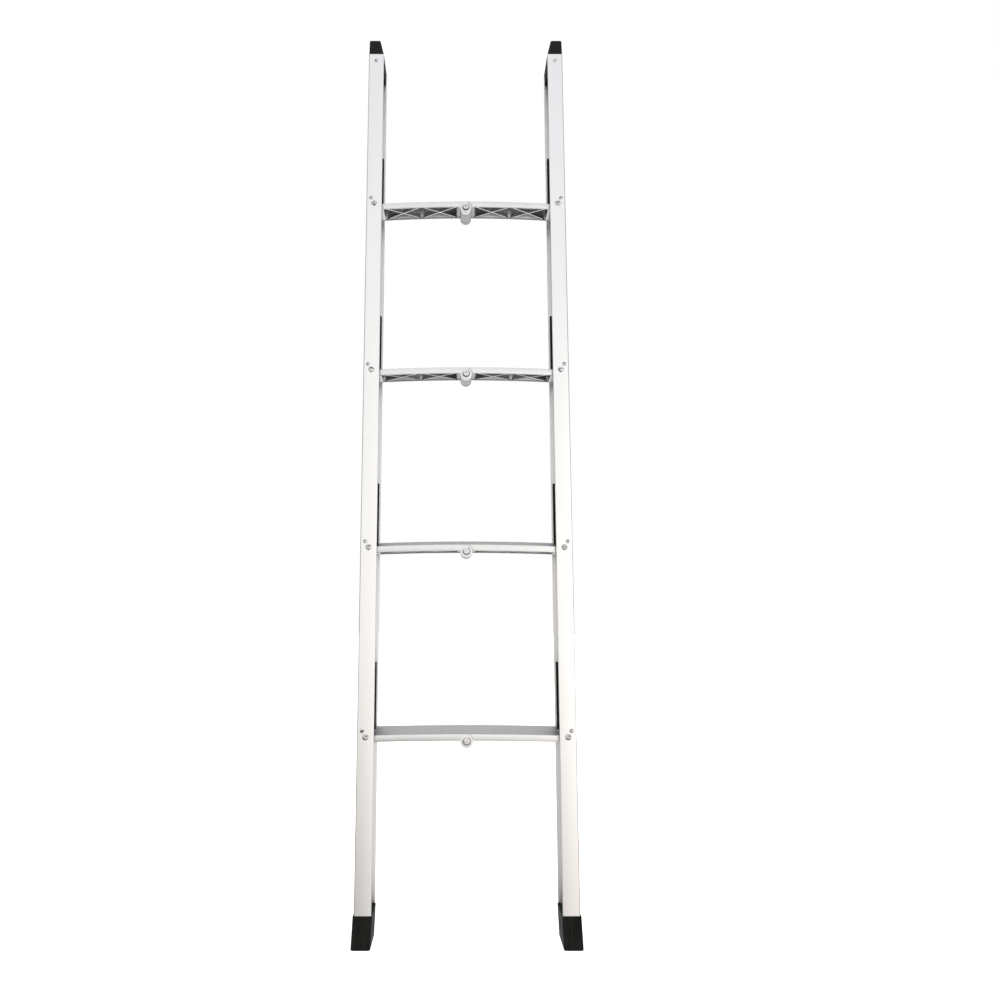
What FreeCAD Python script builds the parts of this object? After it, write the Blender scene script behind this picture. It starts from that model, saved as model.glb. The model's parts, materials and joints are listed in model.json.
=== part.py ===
import FreeCAD, Part
import math
import os
from FreeCAD import Vector

# Folding boat boarding ladder: two inward-facing channel stiles joined by four rungs.  Each rung is two
# half treads hinged end to end at a centre knuckle, and each half tread turns on a rivet inside its stile.
# Frame: X across the ladder, Y from the front (-Y) to the back, Z up.  The origin is on the ground, under
# the middle of the ladder.  All lengths are millimetres.

os.makedirs("parts", exist_ok=True)

# Driving dimensions
RUNG_COUNT = 4
RUNG_PITCH = 300.0
LOWEST_PIVOT_Z = 314.0
PIVOT_X = 160.0

STILE_WIDTH = 27.0
STILE_DEPTH = 65.0
STILE_WALL = 2.0
STILE_CORNER = 2.0
STILE_BOTTOM_Z = 20.0
STILE_TOP_Z = 1499.0

TREAD_DEPTH = 46.0
TREAD_BOW = 5.0
TREAD_ARCH = 2.9
TREAD_SLOPE_DEGREES = 11.5
TREAD_SKIN = 2.4
LIP_THICKNESS = 2.6
LIP_TOP_AT_PIVOT = 1.4
LIP_BOTTOM_AT_PIVOT = -8.8
TREAD_EDGE_ROUND = 1.3
LIP_EDGE_ROUND = 0.6
SKIN_FILLET = 1.0
REAR_LIP_DRAFT = 4.5
REAR_LIP_COVE = 7.0
FRONT_CLEARANCE = 0.4
HEEL_REACH = 7.6
HEEL_THICKNESS = 4.2
HEEL_INSET = 1.0
NECK_REACH = 13.4
END_OVERLAP = 2.0
END_BOSS_RADIUS = 6.8

KNUCKLE_RADIUS = 10.3
KNUCKLE_BACK_RADIUS = 9.5
KNUCKLE_LENGTH = 51.0
KNUCKLE_DROP = 6.4
FRONT_LEAF_LENGTH = 8.5
BACK_LEAF_LENGTH = 8.5
KNUCKLE_BLOCK_REACH = 15.3
ABUTMENT_REACH = 3.0
HINGE_GAP = 0.3
RIB_THICKNESS = 2.2
RIB_LIFT = 1.2
RIB_PITCH = 64.3
RIB_START = 13.7

PIVOT_PIN_RADIUS = 3.0
PIVOT_HEAD_RADIUS = 4.8
PIVOT_HEAD_HEIGHT = 1.8
STOP_PIN_RADIUS = 2.5
STOP_HEAD_RADIUS = 3.2
STOP_HEAD_HEIGHT = 1.5
STOP_OUTWARD = 5.5
STOP_ABOVE = 9.7
RUNNING_FIT = 0.05
SPACER_RADIUS = 5.5

BOLT_RADIUS = 3.0
BOLT_HEAD_RADIUS = 5.5
BOLT_HEAD_HEIGHT = 2.8
BOLT_HEAD_ROUND = 1.25
BOLT_SOCKET_RADIUS = 2.0
BOLT_SOCKET_DEPTH = 1.6
NUT_ACROSS_CORNERS = 11.5
NUT_HEIGHT = 4.4
NUT_CHAMFER = 0.6
BOLT_TAIL = 1.2

LINER_BOTTOM = 5.6
LINER_TOP = 113.5
LINER_WEB = 1.2
LINER_RECESS = 2.5
LINER_GAP = 0.5

CAP_HEIGHT = 27.3
CAP_TOP_WIDTH = 19.2
CAP_TOP_OUTER_INSET = 1.0
CAP_INSET = 0.3
PLUG_DEPTH = 19.0
PLUG_WALL = 3.0
PLUG_MOUTH_INSET = 1.0
PLUG_FRONT_WALL = 9.0
CAP_SCREW_BELOW_TOP = 12.0
CAP_SCREW_RADIUS = 1.8
CAP_SCREW_HEAD_RADIUS = 3.1
CAP_SCREW_HEAD_HEIGHT = 1.3
CAP_SCREW_FACE_RADIUS = 2.2
CAP_SCREW_SLOT_WIDTH = 0.8
CAP_SCREW_SLOT_REACH = 1.5
CAP_SCREW_SLOT_DEPTH = 0.7
CAP_SCREW_LENGTH = 7.0

BOOT_HEIGHT = 49.5
BOOT_TOP_OUTER = 1.7
BOOT_TOP_INNER = 1.2
BOOT_SOLE_OUTER = 4.0
BOOT_SOLE_INNER = -0.8
BOOT_FRONT = 1.5
BOOT_CORNER = 2.6
SOLE_GROOVE_COUNT = 5
SOLE_GROOVE_WIDTH = 2.4
SOLE_GROOVE_DEPTH = 2.0

# Worked-out values
HALF_WIDTH = STILE_WIDTH / 2
HALF_DEPTH = STILE_DEPTH / 2
INNER_HALF_DEPTH = HALF_DEPTH - STILE_WALL
WEB_FACE = -HALF_WIDTH + STILE_WALL
RUNG_HEIGHTS = [LOWEST_PIVOT_Z + RUNG_PITCH * step for step in range(RUNG_COUNT)]
TREAD_FRONT = -INNER_HALF_DEPTH + FRONT_CLEARANCE
KNUCKLE_Z = -KNUCKLE_DROP
LIP_TOP = LIP_TOP_AT_PIVOT + TREAD_ARCH
LIP_BOTTOM = LIP_BOTTOM_AT_PIVOT + TREAD_ARCH
SLOPE = math.tan(math.radians(TREAD_SLOPE_DEGREES))
KNUCKLE_BACK = TREAD_FRONT + KNUCKLE_LENGTH
KNUCKLE_SPANS = {
    "front": (TREAD_FRONT, TREAD_FRONT + FRONT_LEAF_LENGTH, KNUCKLE_RADIUS),
    "middle": (TREAD_FRONT + FRONT_LEAF_LENGTH + HINGE_GAP, KNUCKLE_BACK - BACK_LEAF_LENGTH - HINGE_GAP,
               KNUCKLE_BACK_RADIUS),
    "back": (KNUCKLE_BACK - BACK_LEAF_LENGTH, KNUCKLE_BACK, KNUCKLE_BACK_RADIUS),
}
ACROSS = Vector(1, 0, 0)
BACKWARD = Vector(0, 1, 0)
UP = Vector(0, 0, 1)
ORIGIN = Vector(0, 0, 0)


def box(low, high):
    """Box between two opposite corners."""
    size = [high[i] - low[i] for i in range(3)]
    return Part.makeBox(size[0], size[1], size[2], Vector(*low))


def rod(x, z, radius, front, back):
    """Cylinder along Y."""
    return Part.makeCylinder(radius, back - front, Vector(x, front, z), BACKWARD)


def rounded_wire(corners):
    """Closed wire through (point, radius) corners, rounding each corner that has a radius."""
    entries = []
    count = len(corners)
    for index in range(count):
        point, radius = corners[index]
        before = (corners[index - 1][0] - point).normalize()
        after = (corners[(index + 1) % count][0] - point).normalize()
        if radius == 0:
            entries.append((point, None, point))
            continue
        half_angle = before.getAngle(after) / 2
        reach = radius / math.tan(half_angle)
        middle = (before + after).normalize() * (radius / math.sin(half_angle) - radius)
        entries.append((point + before * reach, point + middle, point + after * reach))
    edges = []
    for index in range(count):
        start, middle, end = entries[index]
        following = entries[(index + 1) % count][0]
        if middle is not None:
            edges.append(Part.Arc(start, middle, end).toShape())
        if end.distanceToPoint(following) > 1e-6:
            edges.append(Part.LineSegment(end, following).toShape())
    return Part.Wire(edges)


def prism(corners, direction):
    """Solid made by extruding a rounded outline."""
    return Part.Face(rounded_wire(corners)).extrude(direction)


def rectangle(x_low, x_high, y_low, y_high, z, radius):
    """Rounded rectangle outline in a level plane."""
    points = [(x_low, y_low), (x_high, y_low), (x_high, y_high), (x_low, y_high)]
    return rounded_wire([(Vector(x, y, z), radius) for x, y in points])


def fuse(first, others):
    """One solid from touching or overlapping solids."""
    return first.multiFuse(others).removeSplitter()


def place(shape, side):
    """Put a shape drawn about the left pivot line on the left (side -1) or right (side +1) stile."""
    moved = shape.copy()
    moved.translate(Vector(-PIVOT_X, 0, 0))
    if side > 0:
        moved = moved.mirror(ORIGIN, ACROSS)
    return moved


def group(shapes):
    """Several separate solids that share one node."""
    return Part.makeCompound(shapes)


# Stile: a channel whose open side faces the other stile, with rivet and screw holes.  Drawn about its
# pivot line, with +X towards the middle of the ladder.
def channel(height):
    outer = STILE_CORNER
    tip = STILE_WALL * 0.3
    corners = [
        (Vector(HALF_WIDTH, -HALF_DEPTH, STILE_BOTTOM_Z), tip),
        (Vector(HALF_WIDTH, -INNER_HALF_DEPTH, STILE_BOTTOM_Z), tip),
        (Vector(WEB_FACE, -INNER_HALF_DEPTH, STILE_BOTTOM_Z), 0),
        (Vector(WEB_FACE, INNER_HALF_DEPTH, STILE_BOTTOM_Z), 0),
        (Vector(HALF_WIDTH, INNER_HALF_DEPTH, STILE_BOTTOM_Z), tip),
        (Vector(HALF_WIDTH, HALF_DEPTH, STILE_BOTTOM_Z), tip),
        (Vector(-HALF_WIDTH, HALF_DEPTH, STILE_BOTTOM_Z), outer),
        (Vector(-HALF_WIDTH, -HALF_DEPTH, STILE_BOTTOM_Z), outer),
    ]
    return prism(corners, UP * height)


def channel_stile():
    stile = channel(STILE_TOP_Z - STILE_BOTTOM_Z)
    holes = [rod(0, STILE_TOP_Z - CAP_SCREW_BELOW_TOP, CAP_SCREW_RADIUS + RUNNING_FIT, -HALF_DEPTH - 1, 0)]
    for z in RUNG_HEIGHTS:
        holes.append(rod(0, z, PIVOT_PIN_RADIUS + RUNNING_FIT, -HALF_DEPTH - 1, HALF_DEPTH + 1))
        stop_radius = STOP_PIN_RADIUS + RUNNING_FIT
        holes.append(rod(-STOP_OUTWARD, z + STOP_ABOVE, stop_radius, -HALF_DEPTH - 1, HALF_DEPTH + 1))
    return stile.cut(holes)


# Rivets: a shank through both flanges with a domed head on each outer face.
def rivet(x, z, shank_radius, head_radius, head_height):
    dome_radius = (head_radius ** 2 + head_height ** 2) / (2 * head_height)
    heads = []
    for facing in (-1, 1):
        face = facing * HALF_DEPTH
        ball = Part.makeSphere(dome_radius, Vector(x, face + facing * (head_height - dome_radius), z))
        inside = box((x - STILE_WIDTH, min(face, -face * 2), z - STILE_WIDTH),
                     (x + STILE_WIDTH, max(face, -face * 2), z + STILE_WIDTH))
        heads.append(ball.cut(inside))
    return fuse(rod(x, z, shank_radius, -HALF_DEPTH, HALF_DEPTH), heads)


def pivot_rivets():
    return [rivet(0, z, PIVOT_PIN_RADIUS, PIVOT_HEAD_RADIUS, PIVOT_HEAD_HEIGHT) for z in RUNG_HEIGHTS]


def stop_pins():
    return [rivet(-STOP_OUTWARD, z + STOP_ABOVE, STOP_PIN_RADIUS, STOP_HEAD_RADIUS, STOP_HEAD_HEIGHT)
            for z in RUNG_HEIGHTS]


# Spacer sleeves on the pivot rivets hold each tread end away from the flanges.
def pivot_spacers():
    tread_front = TREAD_FRONT + TREAD_BOW
    spans = [(-INNER_HALF_DEPTH, tread_front - HINGE_GAP),
             (tread_front + TREAD_DEPTH + HINGE_GAP, INNER_HALF_DEPTH)]
    sleeves = []
    for z in RUNG_HEIGHTS:
        for front, back in spans:
            sleeve = rod(0, z, SPACER_RADIUS, front, back)
            bore = rod(0, z, PIVOT_PIN_RADIUS + RUNNING_FIT, front - 1, back + 1)
            sleeves.append(sleeve.cut(bore))
    return sleeves


# Liner: a U-shaped moulding above each rung that fills the space between the bowed tread and the flanges
# when the rung is folded up into the stile.
def liner_front_face(height):
    """Where the front wall's inner face stands, just ahead of the folded tread's bowed lip."""
    from_middle = (PIVOT_X - height) / PIVOT_X
    return TREAD_FRONT + TREAD_BOW * from_middle ** 2 - LINER_GAP


def liner(z):
    middle = (LINER_BOTTOM + LINER_TOP) / 2
    mouth = HALF_WIDTH - LINER_RECESS
    back_face = TREAD_FRONT + TREAD_BOW + TREAD_DEPTH + LINER_GAP
    curve = [Vector(WEB_FACE, liner_front_face(h), z + h) for h in (LINER_BOTTOM, middle, LINER_TOP)]
    floor = Vector(WEB_FACE, -INNER_HALF_DEPTH, z + LINER_BOTTOM)
    top = Vector(WEB_FACE, -INNER_HALF_DEPTH, z + LINER_TOP)
    outline = Part.Wire([
        Part.Arc(*curve).toShape(),
        Part.LineSegment(curve[2], top).toShape(),
        Part.LineSegment(top, floor).toShape(),
        Part.LineSegment(floor, curve[0]).toShape(),
    ])
    front_wall = Part.Face(outline).extrude(ACROSS * (mouth - WEB_FACE))
    back_wall = box((WEB_FACE, back_face, z + LINER_BOTTOM), (mouth, INNER_HALF_DEPTH, z + LINER_TOP))
    web = box((WEB_FACE, -INNER_HALF_DEPTH, z + LINER_BOTTOM),
              (WEB_FACE + LINER_WEB, INNER_HALF_DEPTH, z + LINER_TOP))
    hole = rod(-STOP_OUTWARD, z + STOP_ABOVE, STOP_PIN_RADIUS + RUNNING_FIT, -HALF_DEPTH, HALF_DEPTH)
    return fuse(web, [front_wall, back_wall]).cut(hole)


# End fittings
def top_cap():
    """Tapered head flush with the stile, over a hollow plug that slides into the channel."""
    seat = STILE_TOP_Z
    head_top = seat + CAP_HEIGHT
    top_outer = -HALF_WIDTH + CAP_TOP_OUTER_INSET
    front = -HALF_DEPTH + CAP_INSET
    back = HALF_DEPTH - CAP_INSET
    base = rectangle(-HALF_WIDTH + CAP_INSET, HALF_WIDTH - CAP_INSET, front, HALF_DEPTH, seat, STILE_CORNER)
    crown = rectangle(top_outer, top_outer + CAP_TOP_WIDTH, front, HALF_DEPTH, head_top, STILE_CORNER)
    head = Part.makeLoft([base, crown], True, True)
    head = head.cut(box((-STILE_WIDTH, back, seat - 1), (STILE_WIDTH, HALF_DEPTH + 1, head_top + 1)))
    mouth = HALF_WIDTH - PLUG_MOUTH_INSET
    plug = box((WEB_FACE, -INNER_HALF_DEPTH, seat - PLUG_DEPTH), (mouth, INNER_HALF_DEPTH, seat))
    hollow = box((WEB_FACE + PLUG_WALL, -INNER_HALF_DEPTH + PLUG_FRONT_WALL, seat - PLUG_DEPTH),
                 (mouth - PLUG_WALL, INNER_HALF_DEPTH - PLUG_WALL, seat))
    pilot_back = -HALF_DEPTH + CAP_SCREW_LENGTH
    pilot = rod(0, seat - CAP_SCREW_BELOW_TOP, CAP_SCREW_RADIUS + RUNNING_FIT, -HALF_DEPTH, pilot_back)
    return fuse(head, [plug.cut(hollow)]).cut(pilot)


def cap_screw():
    z = STILE_TOP_Z - CAP_SCREW_BELOW_TOP
    shank = rod(0, z, CAP_SCREW_RADIUS, -HALF_DEPTH, -HALF_DEPTH + CAP_SCREW_LENGTH)
    front = -HALF_DEPTH - CAP_SCREW_HEAD_HEIGHT
    head = Part.makeCone(CAP_SCREW_FACE_RADIUS, CAP_SCREW_HEAD_RADIUS, CAP_SCREW_HEAD_HEIGHT,
                         Vector(0, front, z), BACKWARD)
    half_width = CAP_SCREW_SLOT_WIDTH / 2
    reach = CAP_SCREW_SLOT_REACH
    floor = front + CAP_SCREW_SLOT_DEPTH
    slots = [box((-reach, front - 1, z - half_width), (reach, floor, z + half_width)),
             box((-half_width, front - 1, z - reach), (half_width, floor, z + reach))]
    return fuse(shank, [head]).cut(slots)


def boot():
    """Rubber foot moulded around and inside the stile's end, leaning outwards towards its grooved sole."""
    depth = HALF_DEPTH + BOOT_FRONT
    sole = rectangle(-HALF_WIDTH - BOOT_SOLE_OUTER, HALF_WIDTH + BOOT_SOLE_INNER, -depth, depth,
                     0, BOOT_CORNER)
    rim = rectangle(-HALF_WIDTH - BOOT_TOP_OUTER, HALF_WIDTH + BOOT_TOP_INNER, -depth, depth,
                    BOOT_HEIGHT, BOOT_CORNER)
    body = Part.makeLoft([sole, rim], True, True)
    pitch = 2 * depth / (SOLE_GROOVE_COUNT + 1)
    grooves = []
    for index in range(SOLE_GROOVE_COUNT):
        middle = -depth + pitch * (index + 1)
        grooves.append(box((-STILE_WIDTH, middle - SOLE_GROOVE_WIDTH / 2, -1),
                           (STILE_WIDTH, middle + SOLE_GROOVE_WIDTH / 2, SOLE_GROOVE_DEPTH)))
    return body.cut([channel(BOOT_HEIGHT)] + grooves)


# Half tread.  Drawn in place for the left half, with the ladder's middle at X = 0 and the pivot line at
# Z = 0.  The section is swept on a flat arc that both arches up and bows forward at the middle.
def section_solid(corners, reach):
    """Section in the YZ plane at the middle, turned about the arc's far-off axis towards -X."""
    rise = Vector(0, -TREAD_BOW, TREAD_ARCH)
    sagitta = rise.Length
    radius = (PIVOT_X ** 2 + sagitta ** 2) / (2 * sagitta)
    heading = rise.normalize()
    crest = Vector(0, TREAD_FRONT, LIP_TOP)
    centre = crest - heading * radius
    face = Part.Face(rounded_wire(corners))
    angle = math.degrees(math.asin(reach / radius))
    axis = ACROSS.cross(heading)
    return face.revolve(centre, axis, angle)


def section_corners(bottom, hollow):
    front = TREAD_FRONT
    back = TREAD_FRONT + TREAD_DEPTH
    crown = LIP_TOP + TREAD_DEPTH * SLOPE
    edge = TREAD_EDGE_ROUND
    foot = LIP_EDGE_ROUND
    outer = [(Vector(0, front, LIP_TOP), edge), (Vector(0, back, crown), edge),
             (Vector(0, back, bottom), foot)]
    if not hollow:
        return outer + [(Vector(0, front, bottom), foot)]
    inner_front = front + LIP_THICKNESS
    inner_back = back - LIP_THICKNESS
    root_back = inner_back - REAR_LIP_DRAFT
    under = LIP_TOP - TREAD_SKIN
    return outer + [
        (Vector(0, inner_back, bottom), foot),
        (Vector(0, root_back, under + (root_back - front) * SLOPE), REAR_LIP_COVE),
        (Vector(0, inner_front, under + LIP_THICKNESS * SLOPE), SKIN_FILLET),
        (Vector(0, inner_front, bottom), foot),
        (Vector(0, front, bottom), foot),
    ]


def lattice_ribs():
    """Crossing ribs between the lips, as upright plates."""
    front = TREAD_FRONT + LIP_THICKNESS / 2
    back = TREAD_FRONT + TREAD_BOW + TREAD_DEPTH - LIP_THICKNESS / 2
    height = KNUCKLE_RADIUS * 3
    ribs = []
    for index in range(2):
        near = -RIB_START - RIB_PITCH * index
        far = near - RIB_PITCH
        for front_x, back_x in ((near, far), (far, near)):
            length = math.hypot(front_x - back_x, back - front)
            plate = box((0, -RIB_THICKNESS / 2, -height / 2), (length, RIB_THICKNESS / 2, height / 2))
            turn = math.degrees(math.atan2(back - front, back_x - front_x))
            plate.rotate(ORIGIN, UP, turn)
            plate.translate(Vector(front_x, front, 0))
            ribs.append(plate)
    return ribs


def tread_blank():
    """Everything that the two halves of a rung share, before the knuckle."""
    reach = PIVOT_X + HEEL_REACH + END_OVERLAP
    shell = section_solid(section_corners(LIP_BOTTOM, True), reach)
    envelope = section_solid(section_corners(LIP_BOTTOM + RIB_LIFT, False), reach)
    end_front = TREAD_FRONT + TREAD_BOW
    end_back = end_front + TREAD_DEPTH
    heel_x = -PIVOT_X - HEEL_REACH
    neck_x = -PIVOT_X + NECK_REACH
    ribs = [rib.common(envelope) for rib in lattice_ribs()]
    block = box((-KNUCKLE_BLOCK_REACH, -HALF_DEPTH, LIP_BOTTOM), (0, HALF_DEPTH, HALF_DEPTH))
    block = block.common(envelope)
    blank = fuse(shell, ribs + [block])
    far_x = heel_x - STILE_WIDTH
    above_neck = box((far_x, -HALF_DEPTH, LIP_TOP_AT_PIVOT), (neck_x, HALF_DEPTH, HALF_DEPTH))
    beyond_heel = box((far_x - 1, -HALF_DEPTH, -HALF_DEPTH), (heel_x, HALF_DEPTH, HALF_DEPTH))
    behind_neck = box((far_x - 2, end_back + HINGE_GAP / 2, -HALF_DEPTH),
                      (neck_x - END_OVERLAP / 2, HALF_DEPTH, HALF_DEPTH))
    blank = blank.cut([above_neck, beyond_heel, behind_neck])
    end_block = box((heel_x, end_front, LIP_BOTTOM_AT_PIVOT),
                    (neck_x + END_OVERLAP, end_back, LIP_TOP_AT_PIVOT))
    boss = rod(-PIVOT_X, 0, END_BOSS_RADIUS, end_front, end_back)
    boss = boss.cut(box((heel_x, -HALF_DEPTH, LIP_TOP_AT_PIVOT), (neck_x, HALF_DEPTH, HALF_DEPTH)))
    heel_top = STOP_ABOVE - STOP_PIN_RADIUS - HINGE_GAP
    heel = box((heel_x, end_front + HEEL_INSET, 0),
               (heel_x + HEEL_THICKNESS, end_back - HEEL_INSET, heel_top))
    blank = fuse(blank, [end_block, boss, heel])
    bore = rod(-PIVOT_X, 0, PIVOT_PIN_RADIUS + RUNNING_FIT, -HALF_DEPTH, HALF_DEPTH)
    return blank.cut(bore)


def half_tread(blank, own_leaves):
    """Cut the blank for the other half's leaves and add its own.  Drawn on the left."""
    gap = HINGE_GAP
    trims = []
    leaves = []
    for name, (front, back, radius) in KNUCKLE_SPANS.items():
        if name in own_leaves:
            leaves.append(rod(0, KNUCKLE_Z, radius, front, back))
            continue
        trims.append(rod(0, KNUCKLE_Z, radius + gap, front - gap, back + gap))
        trims.append(box((-gap / 2, front - gap, -HALF_DEPTH), (HALF_WIDTH, back + gap, HALF_DEPTH)))
    if "front" not in own_leaves:
        front, back, radius = KNUCKLE_SPANS["front"]
        trims.append(box((-ABUTMENT_REACH - gap, front - gap, KNUCKLE_Z), (0, back + gap, HALF_DEPTH)))
    body = blank.cut(trims)
    if "front" in own_leaves:
        front, back, radius = KNUCKLE_SPANS["front"]
        abutment = section_solid(section_corners(LIP_BOTTOM, False), HALF_WIDTH)
        abutment = abutment.mirror(ORIGIN, ACROSS)
        nose = box((0, front, KNUCKLE_Z), (ABUTMENT_REACH, back, HALF_DEPTH))
        leaves.append(abutment.common(nose))
    body = fuse(body, leaves)
    return body.cut(rod(0, KNUCKLE_Z, BOLT_RADIUS + RUNNING_FIT, -HALF_DEPTH, HALF_DEPTH))


# Knuckle fasteners
def centre_bolt(z):
    front = TREAD_FRONT
    tail = KNUCKLE_BACK + NUT_HEIGHT + BOLT_TAIL
    level = z + KNUCKLE_Z
    head = rod(0, level, BOLT_HEAD_RADIUS, front - BOLT_HEAD_HEIGHT, front)
    rim = [edge for edge in head.Edges if abs(edge.BoundBox.YMin - (front - BOLT_HEAD_HEIGHT)) < 1e-6
           and abs(edge.BoundBox.YLength) < 1e-6]
    head = head.makeFillet(BOLT_HEAD_ROUND, rim)
    corners = []
    for index in range(6):
        angle = math.radians(60 * index)
        corners.append((Vector(BOLT_SOCKET_RADIUS * math.cos(angle), front - BOLT_HEAD_HEIGHT - 1,
                               level + BOLT_SOCKET_RADIUS * math.sin(angle)), 0))
    socket = prism(corners, BACKWARD * (BOLT_SOCKET_DEPTH + 1))
    shank = rod(0, level, BOLT_RADIUS, front, tail)
    return fuse(head.cut(socket), [shank])


def centre_nut(z):
    back = KNUCKLE_BACK
    level = z + KNUCKLE_Z
    corner = NUT_ACROSS_CORNERS / 2
    corners = []
    for index in range(6):
        angle = math.radians(60 * index + 30)
        corners.append((Vector(corner * math.cos(angle), back, level + corner * math.sin(angle)), 0))
    nut = prism(corners, BACKWARD * NUT_HEIGHT)
    chamfer = Part.makeCone(corner + NUT_HEIGHT, corner - NUT_CHAMFER, NUT_HEIGHT + NUT_CHAMFER,
                            Vector(0, back - NUT_CHAMFER, level), BACKWARD)
    nut = nut.common(chamfer)
    return nut.cut(rod(0, level, BOLT_RADIUS + RUNNING_FIT, back - 1, back + NUT_HEIGHT + 1))


def build():
    """Every node of the ladder, by name."""
    nodes = {}
    for side, label in ((-1, "left"), (1, "right")):
        nodes[label + "_stile"] = place(channel_stile(), side)
        nodes[label + "_pivot_rivets"] = group([place(shape, side) for shape in pivot_rivets()])
        nodes[label + "_stop_pins"] = group([place(shape, side) for shape in stop_pins()])
        nodes[label + "_pivot_spacers"] = group([place(shape, side) for shape in pivot_spacers()])
        nodes[label + "_top_cap"] = place(top_cap(), side)
        nodes[label + "_cap_screw"] = place(cap_screw(), side)
        nodes[label + "_boot"] = place(boot(), side)
        for number, z in enumerate(RUNG_HEIGHTS, start=1):
            nodes["%s_liner_%d" % (label, number)] = place(liner(z), side)
    blank = tread_blank()
    left_half = half_tread(blank, ("front", "back"))
    right_half = half_tread(blank, ("middle",)).mirror(ORIGIN, ACROSS)
    for number, z in enumerate(RUNG_HEIGHTS, start=1):
        for label, half in (("left", left_half), ("right", right_half)):
            tread = half.copy()
            tread.translate(Vector(0, 0, z))
            nodes["%s_tread_%d" % (label, number)] = tread
        nodes["centre_bolt_%d" % number] = centre_bolt(z)
        nodes["centre_nut_%d" % number] = centre_nut(z)
    return nodes


for node, shape in build().items():
    facts = (node, len(shape.Solids), shape.isValid(), shape.Volume)
    print("%-20s solids %d valid %s volume %9.1f mm3" % facts)
    shape.exportStep("parts/" + node + ".step")
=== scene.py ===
import json
import math

import bmesh
import bpy
import numpy as np
from mathutils import Matrix, Vector


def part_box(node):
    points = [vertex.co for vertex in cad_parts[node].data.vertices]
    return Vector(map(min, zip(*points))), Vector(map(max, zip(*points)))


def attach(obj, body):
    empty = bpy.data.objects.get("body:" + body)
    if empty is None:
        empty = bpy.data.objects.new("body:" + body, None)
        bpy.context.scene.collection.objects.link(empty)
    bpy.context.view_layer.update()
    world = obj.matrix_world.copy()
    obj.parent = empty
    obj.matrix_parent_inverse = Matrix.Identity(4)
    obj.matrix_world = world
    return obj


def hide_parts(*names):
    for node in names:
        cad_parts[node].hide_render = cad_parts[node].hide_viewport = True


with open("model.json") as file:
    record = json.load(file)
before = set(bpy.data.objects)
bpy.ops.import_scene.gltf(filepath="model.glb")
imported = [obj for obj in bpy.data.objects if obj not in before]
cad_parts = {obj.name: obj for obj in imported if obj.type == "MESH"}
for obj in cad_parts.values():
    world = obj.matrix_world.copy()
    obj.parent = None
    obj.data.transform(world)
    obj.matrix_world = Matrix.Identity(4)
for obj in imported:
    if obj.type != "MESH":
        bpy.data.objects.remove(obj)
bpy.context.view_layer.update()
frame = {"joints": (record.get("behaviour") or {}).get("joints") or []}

# Folding boat boarding ladder.  Every piece is drawn in metres in the frame's own axes: X across the
# ladder, Y from its front to its back, Z up.

MM = 0.001
SIDES = (("left", -1), ("right", 1))
RUNGS = (1, 2, 3, 4)

# Places read from the frame
joints = {joint["name"]: joint for joint in frame["joints"]}
PIVOT_Z = [joints["left_fold_%d" % rung]["pos_m"][2] for rung in RUNGS]
PIVOT_X = -joints["left_fold_1"]["pos_m"][0]
KNUCKLE_Z = joints["centre_hinge_1"]["pos_m"][2] - PIVOT_Z[0]
stile_low, stile_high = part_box("left_stile")
HALF_DEPTH = stile_high.y
HALF_WIDTH = (stile_high.x - stile_low.x) / 2
STILE_BOTTOM = stile_low.z
STILE_TOP = stile_high.z
KNUCKLE_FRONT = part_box("left_tread_1")[0].y
bolt_low, bolt_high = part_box("centre_bolt_1")
BOLT_HEAD_RADIUS = (bolt_high.x - bolt_low.x) / 2

# Sizes of the details
WALL = 2.0 * MM
STILE_CORNER = 2.0 * MM
TREAD_FRONT = KNUCKLE_FRONT
TREAD_DEPTH = 46.0 * MM
TREAD_BOW = 5.0 * MM
TREAD_ARCH = 2.9 * MM
TREAD_SLOPE = math.tan(math.radians(11.5))
TREAD_SKIN = 2.4 * MM
LIP = 2.6 * MM
LIP_TOP = 4.3 * MM
LIP_BOTTOM = -5.9 * MM
KNUCKLE_RADIUS = 10.3 * MM
BACK_LEAF_RADIUS = 9.5 * MM
KNUCKLE_LENGTH = 51.0 * MM
LEAF_LENGTH = 8.5 * MM
HINGE_GAP = 0.3 * MM
PARTING = 0.03 * MM
HEEL_REACH = 7.6 * MM
NECK_REACH = 13.4 * MM
ABUTMENT = 3.0 * MM
BORE_RADIUS = 3.05 * MM

# How far the cutting tools reach past what they cut, across, along Y and up
CUT_ACROSS = 0.02
CUT_ALONG = 0.05
CUT_UP = 0.03

scene = bpy.context.scene


# ---------------------------------------------------------------------------------------------------
# Mesh helpers
# ---------------------------------------------------------------------------------------------------

def mesh_object(name, vertices, faces, sharp_degrees=32):
    """Object from vertices and faces, with outward normals, smooth where its faces meet gently."""
    mesh = bpy.data.meshes.new(name)
    mesh.from_pydata([tuple(v) for v in vertices], [], faces)
    tidy = bmesh.new()
    tidy.from_mesh(mesh)
    bmesh.ops.remove_doubles(tidy, verts=tidy.verts, dist=1e-6)
    bmesh.ops.recalc_face_normals(tidy, faces=tidy.faces)
    tidy.to_mesh(mesh)
    tidy.free()
    obj = bpy.data.objects.new(name, mesh)
    scene.collection.objects.link(obj)
    return shade(obj, sharp_degrees)


def shade(obj, sharp_degrees=32):
    """Smooth shading, with sharp edges where the faces meet at more than the angle."""
    mesh = obj.data
    mesh.polygons.foreach_set("use_smooth", [True] * len(mesh.polygons))
    mesh.set_sharp_from_angle(angle=math.radians(sharp_degrees))
    mesh.update()
    return obj


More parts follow.
